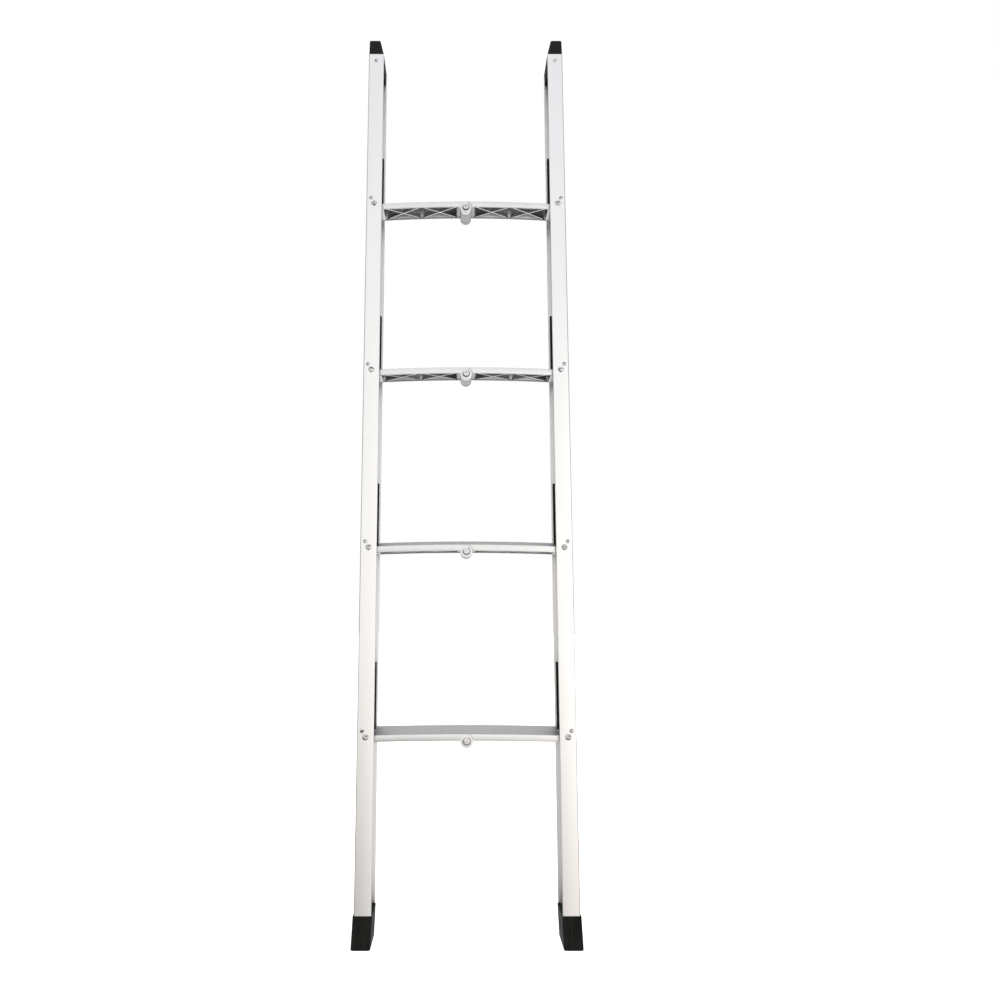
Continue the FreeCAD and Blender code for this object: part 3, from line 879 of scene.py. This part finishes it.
def tread_section(x):
    """Outline of the tread's plain shell at one place along it, in Y and Z."""
    front, top, bottom = tread_place(x)
    back = front + TREAD_DEPTH
    crown = top + TREAD_DEPTH * TREAD_SLOPE
    edge = 1.3 * MM
    foot = 0.7 * MM
    outline = arc((front + foot, bottom + foot), foot, 270, 180, 3)
    outline += arc((front + edge, top - edge * 0.75), edge, 180, 102, 4)
    grooves = int((TREAD_DEPTH - 7 * MM) / GROOVE_PITCH)
    first = (TREAD_DEPTH - GROOVE_PITCH * (grooves - 1)) / 2
    for index in range(grooves):
        middle = first + GROOVE_PITCH * index
        for offset, depth in ((-0.75, 0.0), (-0.4, 1.0), (0.4, 1.0), (0.75, 0.0)):
            y = middle + offset * MM
            outline.append((front + y, top + y * TREAD_SLOPE - depth * GROOVE_DEPTH))
    outline += arc((back - edge, crown - edge * 1.2), edge, 102, 0, 5)
    outline += arc((back - foot, bottom + foot), foot, 0, -90, 3)
    inner_back = back - LIP
    inner_front = front + LIP
    root_back = inner_back - REAR_LIP_DRAFT
    root_round = 2.0 * MM
    inner_foot = 0.5 * MM
    outline += arc((inner_back + inner_foot, bottom + inner_foot), inner_foot, -90, -180, 2)
    outline += rounded_corner((inner_back, bottom), (root_back, underside(x, root_back)),
                              (inner_front, underside(x, inner_front)), REAR_LIP_COVE, 9)
    outline += arc((inner_front + root_round, underside(x, inner_front) - root_round),
                   root_round, 90, 180, 5)
    outline += arc((inner_front - inner_foot, bottom + inner_foot), inner_foot, 0, -90, 2)
    return outline


def tread_shell(inner_end):
    """Skin and lips from the neck at the pivot to the given end at the knuckle."""
    stations = list(np.linspace(-PIVOT_X + NECK_REACH, -KNUCKLE_RADIUS - MM, 71))
    stations += list(np.linspace(-KNUCKLE_RADIUS - MM, inner_end, 7)[1:])
    return loft("shell", [[(x, y, z) for y, z in tread_section(x)] for x in stations], 28)


def rib(start, end):
    """Thin wall under the skin, flaring into it through a wide cove on both sides."""
    along = (end - start).normalized()
    across = Vector((-along.y, along.x))
    rings = []
    for share in np.linspace(0, 1, 25):
        middle = start + (end - start) * share
        cove = COVE * (END_COVE + (1 - END_COVE) * min(1.0, min(share, 1 - share) / 0.2))
        _, _, bottom = tread_place(middle.x)
        level = bottom + RIB_LIFT
        depth = underside(middle.x, middle.y) - level
        outline = [(-RIB_HALF + 0.2 * MM, level), (RIB_HALF - 0.2 * MM, level)]
        flare = [(RIB_HALF, level + 0.3 * MM)]
        for step in range(11):
            turn = math.pi / 2 * step / 10
            flare.append((RIB_HALF + cove * (1 - math.cos(turn)),
                          level + depth * (0.25 + 0.75 * math.sin(turn))))
        ring = [(offset, z, 0.0) for offset, z in outline]
        sides = flare + [(RIB_HALF + cove, level + depth + 0.8 * MM)]
        ring += [(offset, z, offset / (RIB_HALF + cove)) for offset, z in sides]
        ring += [(-offset, z, -offset / (RIB_HALF + cove)) for offset, z in reversed(sides)]
        points = []
        for offset, z, lean in ring:
            point = middle + across * offset
            tilt = across.y * (RIB_HALF + cove) * TREAD_SLOPE * lean * (z - level) / depth
            points.append((point.x, point.y, z + tilt))
        rings.append(points)
    return loft("rib", rings, 28)


def ribs():
    """Two crosses of thin walls under the skin."""
    walls = []
    front = TREAD_FRONT + LIP / 2
    back = TREAD_FRONT + TREAD_DEPTH - LIP / 2
    for index in range(2):
        near = -RIB_START - RIB_PITCH * index
        far = near - RIB_PITCH
        shift_near = TREAD_BOW * (near / PIVOT_X) ** 2
        shift_far = TREAD_BOW * (far / PIVOT_X) ** 2
        walls.append(rib(Vector((near, front + shift_near)), Vector((far, back + shift_far))))
        walls.append(rib(Vector((far, front + shift_far)), Vector((near, back + shift_near))))
    return [combine(wall, [between_lips()], "INTERSECT") for wall in walls]


def filling(name, stations, lift):
    """Solid under the skin from lip to lip, a little into both, lifted above their feet."""
    rings = []
    for x in stations:
        front, _, bottom = tread_place(x)
        near, far = front + LIP / 2, front + TREAD_DEPTH - LIP / 2
        level = bottom + lift
        rings.append([(x, near, level), (x, far, level), (x, far, underside(x, far) + MM),
                      (x, near, underside(x, near) + MM)])
    return loft(name, rings)


def between_lips():
    return filling("room", np.linspace(-PIVOT_X, -BLOCK_REACH + 3 * MM, 41), 0.0)


def knuckle_block(inner_end):
    """Solid stretch of the tread beside the knuckle, flush with the ribs."""
    return filling("block", np.linspace(-BLOCK_REACH, inner_end, 9), RIB_LIFT)


def leaf(front, back, radius):
    """Knuckle leaf with rounded rims, bored for the bolt, with a ring groove round the bolt's head."""
    edge = 0.6 * MM
    profile = [(BORE_RADIUS, front)]
    if front == KNUCKLE_FRONT:
        groove_floor = front + 1.5 * MM
        groove_rim = BOLT_HEAD_RADIUS + 1.3 * MM
        profile += [(BOLT_HEAD_RADIUS, front), (BOLT_HEAD_RADIUS, groove_floor),
                    (groove_rim, groove_floor), (groove_rim, front)]
    profile += front_round(radius, front, edge, 5)
    profile += back_round(radius, back, edge, 5)
    profile += [(BORE_RADIUS, back)]
    return lathe("leaf", profile, 0.0, KNUCKLE_Z, 64)


SPANS = {
    "front": (KNUCKLE_FRONT, KNUCKLE_FRONT + LEAF_LENGTH, KNUCKLE_RADIUS),
    "middle": (KNUCKLE_FRONT + LEAF_LENGTH + HINGE_GAP,
               KNUCKLE_FRONT + KNUCKLE_LENGTH - LEAF_LENGTH - HINGE_GAP, BACK_LEAF_RADIUS),
    "back": (KNUCKLE_FRONT + KNUCKLE_LENGTH - LEAF_LENGTH, KNUCKLE_FRONT + KNUCKLE_LENGTH,
             BACK_LEAF_RADIUS),
}


def tread_end():
    """Solid end that turns on the pivot rivet, with the heel that meets the stop pin."""
    front = TREAD_FRONT + TREAD_BOW
    back = front + TREAD_DEPTH
    heel_x = -PIVOT_X - HEEL_REACH
    neck_x = -PIVOT_X + NECK_REACH
    end_bottom = -8.8 * MM
    end_top = 1.35 * MM
    heel_top = 6.9 * MM
    heel_inner = heel_x + 4.2 * MM
    end = block("end", (heel_x, front, end_bottom), (neck_x + 3 * MM, back, end_top), 0.8 * MM)
    heel = block("heel", (heel_x + 0.1 * MM, front + MM, -2 * MM),
                 (heel_inner, back - MM, heel_top), 0.6 * MM)
    combine(end, [heel], "UNION")
    return combine(end, [bore(-PIVOT_X, 0.0)], "DIFFERENCE")


def half_tread(own_leaves):
    """Casting with its own knuckle leaves, cut clear of the other half's leaves and end face."""
    gap = HINGE_GAP
    inner_end = ABUTMENT if "front" in own_leaves else -PARTING
    shell = combine(tread_shell(inner_end), [knuckle_block(inner_end)] + ribs(), "UNION")
    cutters = []
    for name, (front, back, radius) in SPANS.items():
        if name in own_leaves:
            continue
        profile = [(0.0, front - gap), (radius + gap, front - gap),
                   (radius + gap, back + gap), (0.0, back + gap)]
        cutters.append(lathe("clearance", profile, 0.0, KNUCKLE_Z, 96))
        if inner_end > 0:
            cutters.append(block("parting", (-PARTING, front - gap, -CUT_UP),
                                 (CUT_ACROSS, back + gap, CUT_UP)))
    if "front" in own_leaves:
        cutters.append(block("parting", (-PARTING, SPANS["back"][0] - gap, -CUT_UP),
                             (CUT_ACROSS, CUT_ALONG, CUT_UP)))
        cutters.append(block("parting", (0.0, -CUT_ALONG, -CUT_UP),
                             (CUT_ACROSS, CUT_ALONG, KNUCKLE_Z + 0.5 * MM)))
    else:
        front, back, _ = SPANS["front"]
        cutters.append(block("nose", (-ABUTMENT - gap, front - 10 * MM, KNUCKLE_Z),
                             (CUT_ACROSS, back + gap, CUT_UP)))
    combine(shell, cutters, "DIFFERENCE")
    leaves = [leaf(*SPANS[name]) for name in own_leaves]
    combine(shell, leaves + [tread_end()], "UNION")
    combine(shell, [bore(0.0, KNUCKLE_Z)], "DIFFERENCE")
    return shade(shell, 30)


left_source = half_tread(("front", "back"))
middle_half = half_tread(("middle",))
right_source = mirrored("right_half", middle_half)
bpy.data.objects.remove(middle_half)
for rung, z in zip(RUNGS, PIVOT_Z):
    for label, source in (("left", left_source), ("right", right_source)):
        piece = raised("%s_tread_casting_%d" % (label, rung), source, z)
        finish_piece(piece, "%s_tread_%d" % (label, rung), "%s_tread_%d" % (label, rung), "cast_aluminium")
bpy.data.objects.remove(left_source)
bpy.data.objects.remove(right_source)


# ---------------------------------------------------------------------------------------------------
# Knuckle bolts and nuts
# ---------------------------------------------------------------------------------------------------

def hexagon_prism(name, radius, front, back, turn_degrees):
    """Six-sided bar about the knuckle's line, radius out to its corners."""
    turns = [math.radians(60 * i + turn_degrees) for i in range(6)]
    rings = [[(radius * math.cos(turn), y, KNUCKLE_Z + radius * math.sin(turn)) for turn in turns]
             for y in (front, back)]
    return loft(name, rings)


def centre_bolt():
    """Button head with a hexagon socket, and a plain shank with a chamfered, threaded tail."""
    radius = BOLT_HEAD_RADIUS
    shank = 3.0 * MM
    thread_root = 2.7 * MM
    thread_pitch = 0.8 * MM
    front = bolt_low.y
    tail = bolt_high.y
    thread = KNUCKLE_FRONT + KNUCKLE_LENGTH
    profile = [(0.0, front)] + front_round(radius, front, 1.2 * MM, 6)
    profile += [(radius, KNUCKLE_FRONT), (shank, KNUCKLE_FRONT), (shank, thread)]
    while thread < tail - 1.0 * MM:
        profile += [(thread_root, thread + thread_pitch / 2), (shank, thread + thread_pitch)]
        thread += thread_pitch
    profile += [(shank - 0.6 * MM, tail), (0.0, tail)]
    bolt = lathe("bolt", profile, 0.0, KNUCKLE_Z)
    socket = hexagon_prism("socket", 2.5 * MM, front - MM, front + 2.0 * MM, 0)
    return combine(bolt, [socket], "DIFFERENCE")


def centre_nut():
    """Hexagon nut with chamfered corners."""
    low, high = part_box("centre_nut_1")
    radius = (high.z - low.z) / 2
    nut = hexagon_prism("nut", radius, low.y, high.y, 30)
    soften(nut, 0.35 * MM)
    return combine(nut, [bore(0.0, KNUCKLE_Z)], "DIFFERENCE")


for node, source in (("centre_bolt", centre_bolt()), ("centre_nut", centre_nut())):
    for rung, z in zip(RUNGS, PIVOT_Z):
        piece = raised("%s_machined_%d" % (node, rung), source, z)
        finish_piece(piece, "left_tread_%d" % rung, "%s_%d" % (node, rung), "bolt_steel")
    bpy.data.objects.remove(source)


# ---------------------------------------------------------------------------------------------------
# Floor, light and camera
# ---------------------------------------------------------------------------------------------------

def pale_floor():
    """Plain pale floor, glowing a little so that it shows no shadow."""
    size = 30.0
    floor = mesh_object("floor", [(-size, -size, 0), (size, -size, 0), (size, size, 0), (-size, size, 0)],
                        [(0, 1, 2, 3)])
    n = Nodes("pale_floor")
    cloud = n.noise(0.6, 3.0, 0.5)
    n.set(colour=n.ramp(cloud, 0.3, 0.7, (0.93, 0.93, 0.93), (0.95, 0.95, 0.95)), roughness=0.9, specular=0.2,
          glow=(1.0, 1.0, 1.0), glow_strength=n.range(cloud, 0.85, 0.95))
    floor.data.materials.append(n.material)
    floor.visible_glossy = False
    floor.visible_diffuse = False


# Glow of the tent against height, from straight down (-1) to straight up (1), with its red and blue
FRONT_LEFT = (
    (-1.0, 0.10, 1.0, 1.0), (-0.50, 0.08, 1.02, 1.02), (-0.28, 0.43, 1.035, 1.01), (-0.08, 1.22, 1.045, 0.94),
    (0.12, 1.16, 1.02, 0.945), (0.35, 1.08, 1.0, 0.99), (0.62, 0.86, 0.985, 1.05), (1.0, 1.9, 1.0, 1.0))
FRONT_RIGHT = (
    (-1.0, 0.16, 1.03, 0.98), (-0.50, 0.52, 1.07, 0.96), (-0.28, 1.18, 1.08, 0.94), (-0.08, 1.40, 1.04, 0.94),
    (0.12, 1.22, 1.0, 0.95), (0.35, 1.08, 1.0, 1.0), (0.62, 0.86, 0.985, 1.055), (1.0, 1.9, 1.0, 1.0))
BACK = (
    (-1.0, 0.30, 1.0, 1.0), (-0.50, 1.20, 1.0, 1.0), (-0.15, 1.10, 1.0, 1.0), (0.1, 0.80, 1.0, 1.0),
    (0.3, 0.74, 1.0, 1.0), (0.5, 0.30, 1.0, 1.0), (0.8, 0.45, 1.0, 1.0), (1.0, 1.2, 1.0, 1.0))
SIDES_GLOW = (
    (-1.0, 0.20, 1.0, 1.0), (-0.3, 0.14, 1.0, 1.0), (0.3, 0.14, 1.0, 1.0), (0.7, 0.70, 1.0, 1.0),
    (1.0, 1.2, 1.0, 1.0))


# Where one wall of the tent blends into the next, by the X or the Y of the direction looked in
LEFT_TO_RIGHT = (-0.22, 0.22)
FRONT_TO_SIDES = (-0.85, -0.45)
SIDES_TO_BACK = (0.15, 0.5)


def tent_wall(tree, height, stops):
    """Colour of one wall of the tent at a height."""
    ramp = tree.nodes.new("ShaderNodeValToRGB")
    ramp.color_ramp.interpolation = "EASE"
    while len(ramp.color_ramp.elements) < len(stops):
        ramp.color_ramp.elements.new(0.5)
    for element, (level, glow, red, blue) in zip(ramp.color_ramp.elements, stops):
        element.position = (level + 1) / 2
        element.color = (glow * red / 2, glow / 2, glow * blue / 2, 1)
    tree.links.new(height, ramp.inputs["Fac"])
    return ramp.outputs["Color"]


def tent_turn(tree, axis, low, high, first, second):
    """Blend from one wall to the next between two places along an axis."""
    turn = tree.nodes.new("ShaderNodeMapRange")
    turn.interpolation_type = "SMOOTHSTEP"
    turn.inputs["From Min"].default_value = low
    turn.inputs["From Max"].default_value = high
    tree.links.new(axis, turn.inputs["Value"])
    blend = tree.nodes.new("ShaderNodeMix")
    blend.data_type = "RGBA"
    tree.links.new(turn.outputs["Result"], blend.inputs["Factor"])
    tree.links.new(first, blend.inputs[6])
    tree.links.new(second, blend.inputs[7])
    return blend.outputs[2]


def studio_world():
    """Soft tent: white to the eye, bright in front, dimmer low on the left, at the sides and behind."""
    world = bpy.data.worlds.new("studio")
    world.use_nodes = True
    scene.world = world
    tree = world.node_tree
    tree.nodes.clear()
    links = tree.links
    place = tree.nodes.new("ShaderNodeTexCoord")
    axes = tree.nodes.new("ShaderNodeSeparateXYZ")
    links.new(place.outputs["Generated"], axes.inputs["Vector"])
    height = tree.nodes.new("ShaderNodeMapRange")
    height.inputs["From Min"].default_value = -1.0
    links.new(axes.outputs["Z"], height.inputs["Value"])
    left, right, sides, back = [tent_wall(tree, height.outputs["Result"], stops)
                                for stops in (FRONT_LEFT, FRONT_RIGHT, SIDES_GLOW, BACK)]
    front = tent_turn(tree, axes.outputs["X"], *LEFT_TO_RIGHT, left, right)
    turning = tent_turn(tree, axes.outputs["Y"], *FRONT_TO_SIDES, front, sides)
    around = tent_turn(tree, axes.outputs["Y"], *SIDES_TO_BACK, turning, back)
    lit = tree.nodes.new("ShaderNodeBackground")
    lit.inputs["Strength"].default_value = 2.0
    links.new(around, lit.inputs["Color"])
    seen = tree.nodes.new("ShaderNodeBackground")
    seen.inputs["Color"].default_value = (1, 1, 1, 1)
    path = tree.nodes.new("ShaderNodeLightPath")
    blend = tree.nodes.new("ShaderNodeMixShader")
    links.new(path.outputs["Is Camera Ray"], blend.inputs["Fac"])
    links.new(lit.outputs["Background"], blend.inputs[1])
    links.new(seen.outputs["Background"], blend.inputs[2])
    output = tree.nodes.new("ShaderNodeOutputWorld")
    links.new(blend.outputs["Shader"], output.inputs["Surface"])


def soft_light(name, place, aim, size, power, colour):
    """Area light at a place, turned towards its aim."""
    data = bpy.data.lights.new(name, "AREA")
    data.shape = "RECTANGLE"
    data.size, data.size_y = size
    data.energy = power
    data.color = colour
    lamp = bpy.data.objects.new(name, data)
    lamp.location = place
    lamp.rotation_euler = (Vector(aim) - Vector(place)).to_track_quat("-Z", "Y").to_euler()
    scene.collection.objects.link(lamp)


def camera():
    """Low eye in front of the ladder, tipped up a little, with the lens shifted across and down."""
    eye_height = PIVOT_Z[0] + 0.18280
    tip_up = 0.15956
    data = bpy.data.cameras.new("camera")
    data.sensor_width = 36.0
    data.lens = 31.12
    data.shift_x = 0.0422
    data.shift_y = -0.0193
    eye = bpy.data.objects.new("camera", data)
    eye.location = (-0.01412, -1.44241, eye_height)
    eye.rotation_euler = (math.pi / 2 + tip_up, 0, 0)
    scene.collection.objects.link(eye)
    scene.camera = eye


scene.view_settings.view_transform = "Standard"
pale_floor()
studio_world()
soft_light("low_fill", (1.4, -1.7, 0.62), (0.16, 0, 0.3), (1.0, 1.0), 4, (1.0, 0.97, 0.94))
camera()
